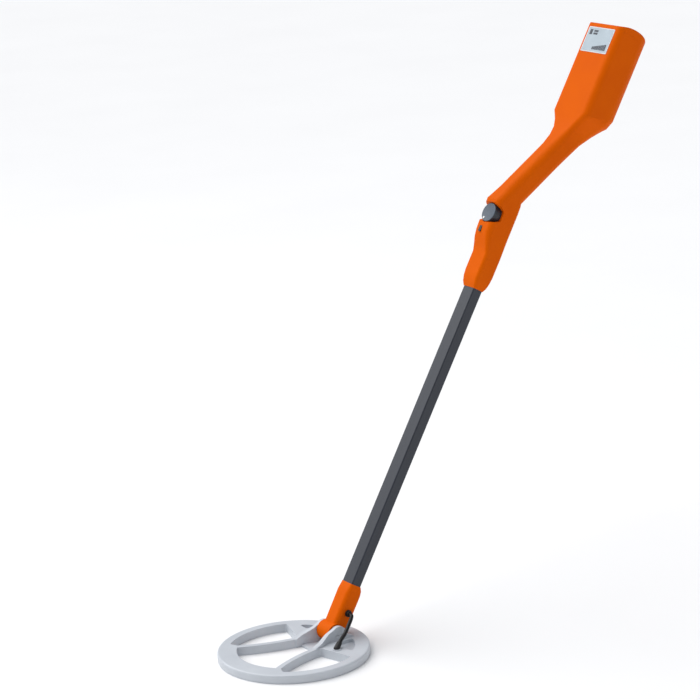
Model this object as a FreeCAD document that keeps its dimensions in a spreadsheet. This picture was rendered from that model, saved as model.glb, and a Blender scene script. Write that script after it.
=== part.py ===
import FreeCAD, Part
import math
import os
import Sketcher
from FreeCAD import Placement, Rotation, Vector

# Metal detector with a round search coil on a tilting hinge, a straight rectangular pole and a
# one-piece handle that carries the tuning knob and the electronics housing.
# Frame: Z up, the coil lies flat on the ground around the origin, the front of the coil is -Y,
# the pole leans back towards +Y and X runs across.

os.makedirs("parts", exist_ok=True)
doc = FreeCAD.newDocument("metal_detector")

# ---------------------------------------------------------------- driving dimensions (mm, deg)

DIMENSIONS = (
    ("coil_radius", 109.5),
    ("coil_height", 13.0),
    ("cover_thickness", 1.8),
    ("side_ring_width", 14.5),
    ("front_pad_radius", 82.0),
    ("rear_ring_radius", 90.0),
    ("rib_width", 8.0),
    ("web_top", 3.8),
    ("ear_inner", 15.6),
    ("ear_outer", 22.0),
    ("ear_radius", 13.0),
    ("channel_inner_radius", 97.5),
    ("channel_outer_radius", 107.3),
    ("channel_top", 10.6),
    ("transmit_radius", 102.2),
    ("transmit_section", 4.6),
    ("receive_radius", 98.0),
    ("receive_section", 3.4),
    ("winding_height", 6.4),
    ("winding_bottom", 2.6),
    ("hinge_forward", 64.0),
    ("hinge_height", 20.5),
    ("bolt_radius", 4.0),
    ("bolt_head_radius", 6.4),
    ("bolt_head_height", 2.4),
    ("nut_radius", 6.2),
    ("nut_height", 3.6),
    ("washer_radius", 11.0),
    ("washer_thickness", 1.0),
    ("lug_radius", 15.0),
    ("lug_half_width", 14.5),
    ("pole_foot_y", 54.5),
    ("pole_lean", 30.83),
    ("tube_width", 25.0),
    ("tube_depth", 17.0),
    ("tube_corner", 2.0),
    ("tube_wall", 1.5),
    ("tube_start", 46.0),
    ("tube_length", 557.0),
    ("tube_shift", 0.4),
    ("socket_gap", 0.1),
    ("foot_screw_station", 80.0),
    ("collar_screw_station", 590.0),
    ("tube_screw_offset", -4.6),
    ("casing_wall", 2.2),
    ("knob_station", 669.0),
    ("knob_radius", 14.4),
    ("knob_base", 14.8),
    ("knob_height", 12.9),
    ("knob_well_radius", 15.3),
    ("knob_floor", 14.0),
    ("knob_slot_half", 7.5),
    ("shaft_radius", 3.0),
    ("pot_radius", 8.0),
    ("pot_depth", 8.6),
    ("pointer_radius", 1.7),
    ("mark_width", 5.4),
    ("mark_length", 9.0),
    ("housing_width", 80.0),
    ("housing_front", 38.0),
    ("housing_back", 102.8),
    ("housing_top", 989.5),
    ("cap_height", 4.5),
    ("cap_crown", 6.5),
    ("label_width", 59.0),
    ("label_length", 39.0),
    ("label_thickness", 0.6),
    ("label_station", 968.8),
    ("board_length", 84.0),
    ("board_depth", 36.0),
    ("board_thickness", 1.6),
    ("board_face", 19.0),
    ("speaker_radius", 16.0),
    ("speaker_depth", 8.5),
    ("battery_width", 26.5),
    ("battery_depth", 17.5),
    ("battery_length", 48.5),
    ("battery_station", 879.0),
    ("door_width", 29.4),
    ("door_length", 65.0),
    ("door_station", 869.0),
    ("door_thickness", 2.2),
    ("cable_radius", 2.9),
    ("lead_radius", 2.2),
    ("screw_radius", 1.28),
    ("screw_head_radius", 2.9),
    ("screw_head_height", 2.0),
)

sheet = doc.addObject("Spreadsheet::Sheet", "Sheet")
for row, (alias, number) in enumerate(DIMENSIONS, start=1):
    sheet.set("A%d" % row, "'" + alias)
    sheet.set("B%d" % row, str(number))
    sheet.setAlias("B%d" % row, alias)
doc.recompute()


def dim(alias):
    """A driving dimension read from the sheet."""
    return float(sheet.get(alias))


# The pole frame: its Z runs up the pole axis, its -Y is the face towards the front of the coil.
POLE = Placement(Vector(0, dim("pole_foot_y"), 0), Rotation(Vector(1, 0, 0), -dim("pole_lean")))
HINGE = Vector(0, dim("hinge_forward"), dim("hinge_height"))
SUBPARTS = []


def keep(item, label):
    """Register a finished sub-part under the name of its file."""
    item.Label = label
    SUBPARTS.append(item)
    return item


def feature(label, shape, placement=Placement()):
    """A sub-part whose shape is computed from the sheet and then placed."""
    item = doc.addObject("Part::Feature", label)
    item.Shape = shape
    item.Placement = placement
    return keep(item, label)


def on_pole(side, front, station):
    """A point in the pole frame: sideways, forward of the axis, and up the pole."""
    return Vector(side, -front, station)


def cylinder_x(radius, x_start, x_end, front, station):
    """A cylinder along X in the pole frame."""
    start = on_pole(x_start, front, station)
    return Part.makeCylinder(radius, x_end - x_start, start, Vector(1, 0, 0))


def cylinder_front(radius, front_start, front_end, side, station):
    """A cylinder that points forward, square to the pole."""
    start = on_pole(side, front_start, station)
    return Part.makeCylinder(radius, front_end - front_start, start, Vector(0, -1, 0))


def block(side, front, station):
    """A box in the pole frame from three (low, high) spans."""
    size = (side[1] - side[0], front[1] - front[0], station[1] - station[0])
    return Part.makeBox(*size, on_pole(side[0], front[1], station[0]))


# ---------------------------------------------------------------- search coil

def wedge_of(points, bottom, top):
    """A prism from a plan outline."""
    ring = [Vector(x, y, bottom) for x, y in points]
    face = Part.Face(Part.makePolygon(ring + [ring[0]]))
    return face.extrude(Vector(0, 0, top - bottom))


def rib_edge(side, offset):
    """Three plan points of a rib's edge, from the rear web to the front pad."""
    return (
        Vector(side * (21.5 + offset), 26.0, 0),
        Vector(side * (27.5 + offset), -3.0, 0),
        Vector(side * (52.0 + 0.8 * offset), -63.0 + 0.6 * offset, 0),
    )


def side_window(side, bottom, top):
    """The crescent opening between the ring and one rib."""
    inner = dim("coil_radius") - dim("side_ring_width")
    rear, middle, front = rib_edge(side, dim("rib_width"))
    ring_front = Vector(side * inner * math.cos(math.radians(-42)), inner * math.sin(math.radians(-42)), 0)
    ring_rear = Vector(side * inner * math.cos(math.radians(26)), inner * math.sin(math.radians(26)), 0)
    ring_side = Vector(side * inner, 0, 0)
    edges = [
        Part.Arc(rear, middle, front).toShape(),
        Part.LineSegment(front, ring_front).toShape(),
        Part.Arc(ring_front, ring_side, ring_rear).toShape(),
        Part.LineSegment(ring_rear, rear).toShape(),
    ]
    window = Part.Face(Part.Wire(edges)).extrude(Vector(0, 0, top - bottom))
    window.translate(Vector(0, 0, bottom))
    upright = [e for e in window.Edges if abs(e.Vertexes[0].Z - e.Vertexes[-1].Z) > 1]
    return window.makeFillet(4.0, upright)


def centre_window(bottom, top):
    """The opening between the ribs, in front of the web."""
    pad = dim("front_pad_radius")
    right = rib_edge(1, 0.0)
    left = rib_edge(-1, 0.0)
    edges = [
        Part.Arc(*right).toShape(),
        Part.Arc(right[2], Vector(0, -pad, 0), left[2]).toShape(),
        Part.Arc(left[2], left[1], left[0]).toShape(),
        Part.LineSegment(left[0], right[0]).toShape(),
    ]
    window = Part.Face(Part.Wire(edges)).extrude(Vector(0, 0, top - bottom))
    window.translate(Vector(0, 0, bottom))
    return window


def coil_plan(radius, bottom, top):
    """The coil's outline as a flat plate: ring, ribs, front pad and closed rear."""
    plate = Part.makeCylinder(radius, top - bottom, Vector(0, 0, bottom))
    for side in (-1, 1):
        plate = plate.cut(side_window(side, bottom - 1, top + 1))
    return plate.cut(centre_window(bottom - 1, top + 1))


def ear_profile(inner, outer, side):
    """A hinge ear: it rises from the rib, is domed over the hinge and drops to the rear ring."""
    rise = dim("ear_radius")
    top = dim("coil_height")
    low = dim("cover_thickness")
    centre_y = HINGE.y
    centre_z = HINGE.z
    lean = math.radians(50)
    start = Vector(0, centre_y - rise * math.cos(lean), centre_z + rise * math.sin(lean))
    crown = Vector(0, centre_y, centre_z + rise)
    end = Vector(0, centre_y + rise, centre_z)
    outline = [
        Part.LineSegment(Vector(0, 18, top), start).toShape(),
        Part.Arc(start, crown, end).toShape(),
        Part.LineSegment(end, Vector(0, 90, top)).toShape(),
        Part.LineSegment(Vector(0, 90, top), Vector(0, 90, low)).toShape(),
        Part.LineSegment(Vector(0, 90, low), Vector(0, 18, low)).toShape(),
        Part.LineSegment(Vector(0, 18, low), Vector(0, 18, top)).toShape(),
    ]
    ear = Part.Face(Part.Wire(outline)).extrude(Vector(outer - inner, 0, 0))
    ear.translate(Vector(inner if side > 0 else -outer, 0, 0))
    return ear


def ear_footprint(side, inner, outer):
    """Plan limits of an ear: it follows the rib at the front and runs straight beside the lug."""
    points = (
        (21.5, 17), (29.5, 17), (29.0, 30), (outer, 46),
        (outer, 91), (inner, 91), (inner, 44), (21.0, 28),
    )
    return wedge_of([(side * x, y) for x, y in points], 0, 60)


def rear_recess(side):
    """The shallow triangular hollow in the closed rear, beside an ear."""
    points = ((27.5, 54), (69, 54), (63, 62), (52, 71), (40, 78), (27.5, 83))
    low = dim("coil_height") - 5.0
    hollow = wedge_of([(side * x, y) for x, y in points], low, 60)
    upright = [e for e in hollow.Edges if abs(e.Vertexes[0].Z - e.Vertexes[-1].Z) > 1]
    return hollow.makeFillet(2.5, upright)


def build_coil_shell():
    """One moulding: ring, ribs, sunken web, ears and the hollow channel for the windings."""
    low = dim("cover_thickness")
    top = dim("coil_height")
    inner = dim("ear_inner")
    outer = dim("ear_outer")
    shell = coil_plan(dim("coil_radius"), low, top)
    rim = [e for e in shell.Edges if e.BoundBox.ZMin > top - 0.01 and e.BoundBox.XLength > 200]
    shell = shell.makeFillet(3.0, rim)
    web = ((-21, 26), (21, 26), (inner, 44), (inner, 88), (-inner, 88), (-inner, 44))
    shell = shell.cut(wedge_of(web, dim("web_top"), 60))
    for side in (-1, 1):
        ear = ear_profile(0, 40, side).common(ear_footprint(side, inner, outer))
        shell = shell.fuse(ear).cut(rear_recess(side))
    shell = shell.removeSplitter()
    channel = Part.makeCylinder(dim("channel_outer_radius"), dim("channel_top"))
    channel = channel.cut(Part.makeCylinder(dim("channel_inner_radius"), dim("channel_top")))
    shell = shell.cut(channel)
    lead_path = Part.makeCylinder(3.0, 37, Vector(50, 43, 6.2), Vector(1, 0.6, 0))
    shell = shell.cut(lead_path)
    boss = Part.makeCylinder(6.6, 1.4, Vector(50, 41, top - 0.2))
    shell = shell.fuse(boss).cut(Part.makeCylinder(3.4, 12, Vector(50, 41, 6)))
    bolt = Part.makeCylinder(dim("bolt_radius") + 0.05, 100, HINGE - Vector(50, 0, 0), Vector(1, 0, 0))
    seat_floor = HINGE + Vector(outer - dim("bolt_head_height") - 0.15, 0, 0)
    head_seat = Part.makeCylinder(dim("bolt_head_radius") + 0.1, 10, seat_floor, Vector(1, 0, 0))
    nut_seat = hexagon(dim("nut_radius") + 0.1, 10)
    nut_seat.translate(HINGE - Vector(outer - dim("nut_height") + 10, 0, 0))
    shell = shell.cut(bolt).cut(head_seat).cut(nut_seat)
    for x, y in COVER_SCREWS:
        shell = shell.cut(Part.makeCylinder(dim("screw_radius"), 8, Vector(x, y, 0)))
    return shell


def hexagon(radius, length):
    """A hexagonal prism along X."""
    corners = [
        Vector(0, radius * math.cos(math.radians(60 * k)), radius * math.sin(math.radians(60 * k)))
        for k in range(6)
    ]
    return Part.Face(Part.makePolygon(corners + [corners[0]])).extrude(Vector(length, 0, 0))


COVER_SCREWS = ((0, -90), (-25, 50), (25, 50), (0, 90), (-77, 48), (77, 48))

coil_shell = feature("coil_shell", build_coil_shell())


def build_coil_cover():
    """The flat plate that closes the coil from below."""
    cover = coil_plan(dim("coil_radius") - 0.6, 0, dim("cover_thickness"))
    for x, y in COVER_SCREWS:
        cover = cover.cut(Part.makeCylinder(dim("screw_radius") + 0.3, 4, Vector(x, y, -1)))
        sink = Part.makeCone(dim("screw_head_radius") + 0.1, dim("screw_radius") + 0.2, 1.6, Vector(x, y, 0))
        cover = cover.cut(sink)
    return cover


feature("coil_cover", build_coil_cover())


def build_cover_screws():
    """Six countersunk screws that hold the cover."""
    screws = []
    for x, y in COVER_SCREWS:
        head = Part.makeCone(dim("screw_head_radius") - 0.1, dim("screw_radius"), 1.4, Vector(x, y, 0.1))
        shank = Part.makeCylinder(dim("screw_radius") - 0.02, 6.4, Vector(x, y, 1.2))
        drive = Part.makeBox(3.6, 0.8, 0.6, Vector(x - 1.8, y - 0.4, 0.0))
        screws.append(head.fuse(shank).cut(drive))
    return Part.makeCompound(screws)


feature("cover_screws", build_cover_screws())


def winding(label, radius_alias, section_alias):
    """A bundle of enamelled wire, revolved from a rounded rectangular section."""
    body = doc.addObject("PartDesign::Body", label)
    sketch = body.newObject("Sketcher::SketchObject", label + "_section")
    plane = [f for f in body.Origin.OriginFeatures if f.Role == "XZ_Plane"][0]
    sketch.AttachmentSupport = [(plane, "")]
    sketch.MapMode = "FlatFace"
    radius = dim(radius_alias)
    width = dim(section_alias)
    bottom = dim("winding_bottom")
    tall = dim("winding_height")
    box = [
        Vector(radius, bottom, 0),
        Vector(radius + width, bottom, 0),
        Vector(radius + width, bottom + tall, 0),
        Vector(radius, bottom + tall, 0),
    ]
    for k in range(4):
        sketch.addGeometry(Part.LineSegment(box[k], box[(k + 1) % 4]), False)
    for k in range(4):
        sketch.addConstraint(Sketcher.Constraint("Coincident", k, 2, (k + 1) % 4, 1))
    for k in (0, 2):
        sketch.addConstraint(Sketcher.Constraint("Horizontal", k))
        sketch.addConstraint(Sketcher.Constraint("Vertical", k + 1))
    drives = (
        (Sketcher.Constraint("DistanceX", -1, 1, 0, 1, radius), radius_alias),
        (Sketcher.Constraint("DistanceY", -1, 1, 0, 1, bottom), "winding_bottom"),
        (Sketcher.Constraint("DistanceX", 0, 1, 0, 2, width), section_alias),
        (Sketcher.Constraint("DistanceY", 1, 1, 1, 2, tall), "winding_height"),
    )
    for constraint, alias in drives:
        index = sketch.addConstraint(constraint)
        sketch.setExpression("Constraints[%d]" % index, "Sheet." + alias)
    turn = body.newObject("PartDesign::Revolution", label + "_turn")
    turn.Profile = sketch
    turn.ReferenceAxis = (sketch, ["V_Axis"])
    turn.Angle = 360
    doc.recompute()
    return keep(body, label)



winding("transmit_winding", "transmit_radius", "transmit_section")
winding("receive_winding", "receive_radius", "receive_section")


# ---------------------------------------------------------------- tilt hinge

def sheet_cylinder(name, radius, height, base, axis=Vector(1, 0, 0)):
    """A cylinder bound to the sheet; radius and height are expressions."""
    item = doc.addObject("Part::Cylinder", name)
    item.setExpression("Radius", radius)
    item.setExpression("Height", height)
    item.Placement = Placement(base, Rotation(Vector(0, 0, 1), axis))
    return item


def fuse(name, *items):
    """Join sheet-bound primitives."""
    union = doc.addObject("Part::MultiFuse", name)
    union.Shapes = list(items)
    return union


def cut(name, base, tool):
    """Subtract one sheet-bound solid from another."""
    result = doc.addObject("Part::Cut", name)
    result.Base = base
    result.Tool = tool
    return result


def build_pivot_bolt():
    """The grey nylon bolt that the coil tilts on; its slotted head sits flush in the right ear."""
    head_face = HINGE + Vector(dim("ear_outer") - 0.1, 0, 0)
    head = sheet_cylinder("bolt_head", "Sheet.bolt_head_radius", "Sheet.bolt_head_height", head_face,
                          Vector(-1, 0, 0))
    shank = sheet_cylinder("bolt_shank", "Sheet.bolt_radius - 0.02", "2 * Sheet.ear_outer - 1.5", head_face,
                           Vector(-1, 0, 0))
    slot = doc.addObject("Part::Box", "bolt_slot")
    slot.setExpression("Width", "2 * Sheet.bolt_head_radius - 3")
    slot.Length = 1.2
    slot.Height = 1.6
    slot.Placement.Base = head_face - Vector(1.2, dim("bolt_head_radius") - 1.5, 0.8)
    return keep(cut("pivot_bolt", fuse("bolt_blank", head, shank), slot), "pivot_bolt")


def build_pivot_nut():
    """The hexagonal nut let into the left ear."""
    inner_face = HINGE - Vector(dim("ear_outer") - dim("nut_height"), 0, 0)
    blank = doc.addObject("Part::Prism", "nut_blank")
    blank.Polygon = 6
    blank.setExpression("Circumradius", "Sheet.nut_radius")
    blank.setExpression("Height", "Sheet.nut_height - 0.2")
    turn = Rotation(Vector(0, 0, 1), Vector(-1, 0, 0))
    blank.Placement = Placement(inner_face, turn.multiply(Rotation(Vector(0, 0, 1), 90)))
    bore_start = inner_face + Vector(10, 0, 0)
    bore = sheet_cylinder("nut_bore", "Sheet.bolt_radius", "20", bore_start, Vector(-1, 0, 0))
    return keep(cut("pivot_nut", blank, bore), "pivot_nut")


def build_friction_washers():
    """Two rubber washers between lug and ears; they hold the coil where it is set."""
    washers = []
    for side in (-1, 1):
        start = HINGE + Vector(side * (dim("ear_inner") - 0.02), 0, 0)
        axis = Vector(-side, 0, 0)
        disc = Part.makeCylinder(dim("washer_radius"), dim("washer_thickness"), start, axis)
        washers.append(disc.cut(Part.makeCylinder(dim("bolt_radius"), 5, start, axis)))
    return feature("friction_washers", Part.makeCompound(washers))


build_pivot_bolt()
build_pivot_nut()
build_friction_washers()


# ---------------------------------------------------------------- rounded sections up the handle

def rounded_section(front, back, width, front_corner, back_corner, grow=0.0):
    """A closed wire across the handle between a front and a back point of the side view.

    Each point is (forward, station). Front and back corners have their own radius.
    A positive grow moves the whole outline outwards.
    """
    front_point = on_pole(0, *front)
    back_point = on_pole(0, *back)
    centre = (front_point + back_point) * 0.5
    forward = (front_point - back_point).normalize()
    depth = (front_point - back_point).Length * 0.5 + grow
    half = width * 0.5 + grow
    front_round = max(front_corner + grow, 0.8)
    back_round = max(back_corner + grow, 0.8)

    def at(side, ahead):
        return centre + Vector(side, 0, 0) + forward * ahead

    edges = []
    corners = ((1, 1, front_round), (-1, 1, front_round), (-1, -1, back_round), (1, -1, back_round))
    marks = []
    for side, ahead, radius in corners:
        hub_side = side * (half - radius)
        hub_ahead = ahead * (depth - radius)
        diagonal = radius * math.sqrt(0.5)
        to_side = at(side * half, hub_ahead)
        to_front = at(hub_side, ahead * depth)
        middle = at(hub_side + side * diagonal, hub_ahead + ahead * diagonal)
        ends = (to_side, to_front) if side == ahead else (to_front, to_side)
        marks.append((ends[0], middle, ends[1]))
    for k, (start, middle, end) in enumerate(marks):
        edges.append(Part.Arc(start, middle, end).toShape())
        edges.append(Part.LineSegment(end, marks[(k + 1) % 4][0]).toShape())
    return Part.Wire(edges)


def loft(sections, grow=0.0):
    """A solid through rounded sections."""
    return Part.makeLoft([rounded_section(*s, grow=grow) for s in sections], True, True)


def straight(width, front, back, station, front_corner, back_corner=None):
    """A section square to the pole."""
    rear = front_corner if back_corner is None else back_corner
    return ((front, station), (back, station), width, front_corner, rear)


# ---------------------------------------------------------------- foot and pole

def tube_bore(start, end):
    """The rectangular socket that the pole tube sits in."""
    gap = dim("socket_gap")
    half_depth = dim("tube_depth") / 2 + gap
    shift = dim("tube_shift")
    width = dim("tube_width") + 2 * gap
    span = straight(width, half_depth + shift, -half_depth + shift, start, dim("tube_corner"))
    top = straight(width, half_depth + shift, -half_depth + shift, end, dim("tube_corner"))
    return loft([span, top])


def build_foot_socket():
    """The moulded foot: a round hinge lug below and a socket for the tube above."""
    hinge_local = POLE.inverse().multVec(HINGE)
    lug_half = dim("lug_half_width")
    lug_start = hinge_local - Vector(lug_half, 0, 0)
    lug = Part.makeCylinder(dim("lug_radius"), 2 * lug_half, lug_start, Vector(1, 0, 0))
    sleeve = loft([
        straight(2 * lug_half, 11.4, -13.0, hinge_local.z + 1, 5.5),
        straight(2 * lug_half, 11.6, -14.2, 38, 6.2),
        straight(29.6, 11.7, -14.6, 46, 6.5),
        straight(30.4, 11.9, -14.4, 84, 6.5),
        straight(29.2, 10.8, -13.0, 91, 5.5),
        straight(26.8, 9.6, -8.9, 97, 3.0),
    ])
    foot = lug.fuse(sleeve)
    foot = foot.cut(tube_bore(dim("tube_start"), 120))
    bore = dim("bolt_radius") + 0.05
    foot = foot.cut(Part.makeCylinder(bore, 60, hinge_local - Vector(30, 0, 0), Vector(1, 0, 0)))
    foot = foot.cut(cylinder_x(4.05, 5, 40, -2.5, 56))
    return foot.cut(screw_hole(dim("foot_screw_station"), 15.0))


def screw_hole(station, half_width):
    """Clearance for a cross screw with its head on the left side."""
    offset = dim("tube_screw_offset")
    hole = cylinder_x(dim("screw_radius") + 0.02, -half_width - 9, half_width - 2, offset, station)
    seat = cylinder_x(dim("screw_head_radius") + 0.1, -half_width - 9, -half_width + 1.9, offset, station)
    return hole.fuse(seat)


def tube_screw(station, half_width):
    """A cross screw through the tube."""
    offset = dim("tube_screw_offset")
    shank = cylinder_x(dim("screw_radius"), -half_width + 1.0, half_width - 2.2, offset, station)
    head = cylinder_x(dim("screw_head_radius"), -half_width + 0.2, -half_width + 1.8, offset, station)
    return head.fuse(shank)


def pole_body(label):
    """The rectangular tube: an outer pad and a pocket through it."""
    body = doc.addObject("PartDesign::Body", label)
    plane = [f for f in body.Origin.OriginFeatures if f.Role == "XY_Plane"][0]
    outlines = []
    for name, reduce_by in ((label + "_outside", 0.0), (label + "_inside", dim("tube_wall"))):
        sketch = body.newObject("Sketcher::SketchObject", name)
        sketch.AttachmentSupport = [(plane, "")]
        sketch.MapMode = "FlatFace"
        x = dim("tube_width") / 2 - reduce_by
        y = dim("tube_depth") / 2 - reduce_by
        corners = [Vector(-x, -y, 0), Vector(x, -y, 0), Vector(x, y, 0), Vector(-x, y, 0)]
        for k in range(4):
            sketch.addGeometry(Part.LineSegment(corners[k], corners[(k + 1) % 4]), False)
        for k in range(4):
            sketch.addConstraint(Sketcher.Constraint("Coincident", k, 2, (k + 1) % 4, 1))
        for k in (0, 2):
            sketch.addConstraint(Sketcher.Constraint("Horizontal", k))
            sketch.addConstraint(Sketcher.Constraint("Vertical", k + 1))
        sketch.addConstraint(Sketcher.Constraint("Symmetric", 0, 1, 2, 1, -1, 1))
        wide = sketch.addConstraint(Sketcher.Constraint("DistanceX", 0, 1, 0, 2, 2 * x))
        deep = sketch.addConstraint(Sketcher.Constraint("DistanceY", 1, 1, 1, 2, 2 * y))
        trim = " - 2 * Sheet.tube_wall" if reduce_by else ""
        sketch.setExpression("Constraints[%d]" % wide, "Sheet.tube_width" + trim)
        sketch.setExpression("Constraints[%d]" % deep, "Sheet.tube_depth" + trim)
        outlines.append(sketch)
    pad = body.newObject("PartDesign::Pad", label + "_pad")
    pad.Profile = outlines[0]
    pad.setExpression("Length", "Sheet.tube_length")
    doc.recompute()
    rounding = body.newObject("PartDesign::Fillet", label + "_corners")
    upright = [
        "Edge%d" % (k + 1) for k, edge in enumerate(pad.Shape.Edges)
        if abs(edge.Vertexes[0].Z - edge.Vertexes[-1].Z) > 1
    ]
    rounding.Base = (pad, upright)
    rounding.setExpression("Radius", "Sheet.tube_corner")
    doc.recompute()
    bore = body.newObject("PartDesign::Pocket", label + "_bore")
    bore.Profile = outlines[1]
    bore.Type = "ThroughAll"
    bore.Reversed = True
    doc.recompute()
    body.Tip = bore
    return body


def build_pole_tube():
    """The pole with its two cross-screw holes and the cable hole."""
    body = pole_body("tube_stock")
    body.Placement.Base = on_pole(0, dim("tube_shift"), dim("tube_start"))
    holes = []
    crossings = (("foot_screw_hole", "foot_screw_station"), ("collar_screw_hole", "collar_screw_station"))
    for name, station in crossings:
        middle = on_pole(-dim("tube_width") / 2 - 5, dim("tube_screw_offset"), dim(station))
        hole = sheet_cylinder(name, "Sheet.screw_radius + 0.02", "Sheet.tube_width + 10", middle)
        holes.append(hole)
    cable_hole = sheet_cylinder("tube_cable_hole", "4.05", "20", on_pole(4, -2.5, 56))
    result = cut("pole_tube", body, fuse("tube_holes", *holes, cable_hole))
    result.Placement = POLE
    return keep(result, "pole_tube")


feature("foot_socket", build_foot_socket(), POLE)
build_pole_tube()
feature("tube_screws", Part.makeCompound([
    tube_screw(dim("foot_screw_station"), 15.0),
    tube_screw(dim("collar_screw_station"), 18.0),
]), POLE)


# ---------------------------------------------------------------- coil cable

def cable_path(points):
    """Straight runs joined by tangent arcs, each as large as its two runs allow."""
    edges = []
    here = points[0]
    for k in range(1, len(points) - 1):
        before = (points[k - 1] - points[k])
        after = (points[k + 1] - points[k])
        reach = 0.45 * min(before.Length, after.Length)
        half_turn = (math.pi - before.getAngle(after)) / 2
        toward_before = Vector(before).normalize()
        toward_after = Vector(after).normalize()
        start = points[k] + toward_before * reach
        end = points[k] + toward_after * reach
        radius = reach / math.tan(half_turn)
        inward = (toward_before + toward_after).normalize()
        middle = points[k] + inward * (math.hypot(radius, reach) - radius)
        edges.append(Part.LineSegment(here, start).toShape())
        edges.append(Part.Arc(start, middle, end).toShape())
        here = end
    edges.append(Part.LineSegment(here, points[-1]).toShape())
    return Part.Wire(edges)


def cable(points, radius):
    """A round cable along a route."""
    path = cable_path(points)
    direction = (points[1] - points[0]).normalize()
    profile = Part.Wire([Part.Circle(points[0], direction, radius).toShape()])
    tube = path.makePipeShell([profile], True, True)
    filled = tube.Volume / (path.Length * math.pi * radius ** 2)
    print("cable length %.1f, volume check %.3f" % (path.Length, filled))
    return tube


def from_pole(side, front, station):
    """A point of the pole frame in the frame of the whole object."""
    return POLE.multVec(on_pole(side, front, station))


BOOT_BASE = Vector(50, 41, 14.6)
BOOT_DIRECTION = Vector(-0.36, 0.74, 0.57).normalize()
BOOT_LENGTH = 10.5
COIL_CABLE_ROUTE = [
    from_pole(21.0, -2.5, 56),
    Vector(26.8, 84.8, 45.8),
    Vector(31.0, 74.0, 33.5),
    Vector(38.0, 62.5, 25.5),
    BOOT_BASE + BOOT_DIRECTION * (BOOT_LENGTH + 5),
    BOOT_BASE + BOOT_DIRECTION * (BOOT_LENGTH + 0.35),
]


def build_cable_grommet():
    """The black rubber grommet where the cable enters the foot and the tube."""
    body = cylinder_x(4.0, 10.4, 20.4, -2.5, 56)
    flange = cylinder_x(5.2, 15.3, 17.0, -2.5, 56)
    inside = cylinder_x(dim("lead_radius"), 9, 21, -2.5, 56)
    return body.fuse(flange).cut(inside)


def build_coil_boot():
    """The tapered rubber boot that leans with the cable where it leaves the coil."""
    sleeve = Part.makeCone(4.5, 3.8, BOOT_LENGTH, BOOT_BASE, BOOT_DIRECTION)
    root = Part.makeSphere(4.5, BOOT_BASE)
    above_boss = Part.makeBox(60, 60, 40, Vector(20, 15, dim("coil_height") + 1.3))
    plug = Part.makeCylinder(3.35, 7.0, Vector(50, 41, 8.4))
    return sleeve.fuse(root).common(above_boss).fuse(plug).removeSplitter()


feature("cable_grommet", build_cable_grommet(), POLE)
feature("coil_boot", build_coil_boot())
feature("coil_cable", cable(COIL_CABLE_ROUTE, dim("cable_radius")))


# ---------------------------------------------------------------- handle casing

FRONT = -dim("housing_front")
BACK = -dim("housing_back")
WIDE = dim("housing_width")
CASING_TOP = dim("housing_top")

COLLAR = [
    straight(28.0, 9.6, -8.9, 559, 3.0),
    straight(32.4, 12.8, -11.5, 565, 4.0),
    straight(35.0, 15.0, -13.2, 573, 5.0),
    straight(36.0, 15.9, -13.9, 582, 5.0),
    straight(36.0, 15.9, -14.0, 611, 5.0),
]
POD = [
    ((19.8, 621), (-14.0, 619), 36.0, 6.0, 5.5),
    ((24.6, 631), (-13.9, 627), 36.0, 7.5, 6.0),
    ((27.7, 642), (-13.8, 636), 36.0, 9.0, 6.5),
    ((30.5, 684), (-13.8, 684), 36.0, 10.0, 7.5),
    ((31.2, 689), (-14.2, 694.5), 35.5, 10.5, 9.0),
]
GRIP = [
    ((18.3, 714.1), (-14.9, 698.3), 34.0, 12.0, 12.0),
    ((-16.4, 784.0), (-49.0, 767.8), 34.0, 12.0, 12.0),
    ((-24.0, 799.2), (-56.6, 783.0), 34.6, 12.0, 12.0),
]
NECK = [
    ((-31.0, 815.0), (-72.0, 814.5), 38.0, 11.0, 12.0),
    ((-36.2, 829.0), (-84.0, 833.0), 46.5, 9.5, 14.0),
    ((-37.7, 841.0), (-92.5, 845.5), 60.0, 10.0, 18.0),
    ((FRONT, 848.0), (-99.0, 854.0), 71.0, 10.4, 21.0),
]
HOUSING = [
    ((FRONT, 854.0), (BACK, 868.0), WIDE, 10.5, 24.0),
    straight(WIDE, FRONT, BACK, CASING_TOP, 10.5, 24.0),
]


def side_of(solid, side):
    """The half of a solid on one side of the middle plane."""
    half = block((0, 200) if side > 0 else (-200, 0), (-200, 200), (400, 1200))
    return solid.common(half)


def knob_well(grow=0.0):
    """The round well that the knob turns in, with a flared finger slot across it."""
    floor = dim("knob_floor") - grow
    reach = dim("knob_slot_half") + grow
    station = dim("knob_station")
    well = cylinder_front(dim("knob_well_radius") + grow, floor, 60, 0, station)
    wide = reach + 0.5 * (60 - floor)
    corners = [
        on_pole(-60, floor, station - reach),
        on_pole(-60, floor, station + reach),
        on_pole(-60, 60, station + wide),
        on_pole(-60, 60, station - wide),
    ]
    slot = Part.Face(Part.makePolygon(corners + [corners[0]])).extrude(Vector(120, 0, 0))
    return well.fuse(slot)


# Screw places as (forward, station) in the side view.
CASING_SCREWS = (
    (4.0, 634.0),
    (-1.1, 728.0),
    (-24.2, 774.5),
    (-47.0, 815.0),
    (-47.0, 864.0),
    (-47.0, 978.0),
    (-91.0, 978.0),
    (-89.0, 861.0),
)
SCREW_DEPTH = 7.0


def door_recess(grow=0.0):
    """The shallow bed of the battery door, open at its lower end."""
    half = dim("door_width") / 2 + 0.3 + grow
    bed = BACK + dim("door_thickness") + 0.2 + grow
    low = dim("door_station") - (20 if grow == 0 else 1)
    high = dim("door_station") + dim("door_length") + 0.3 + grow
    return block((-half, half), (-130, bed), (low, high))


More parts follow.
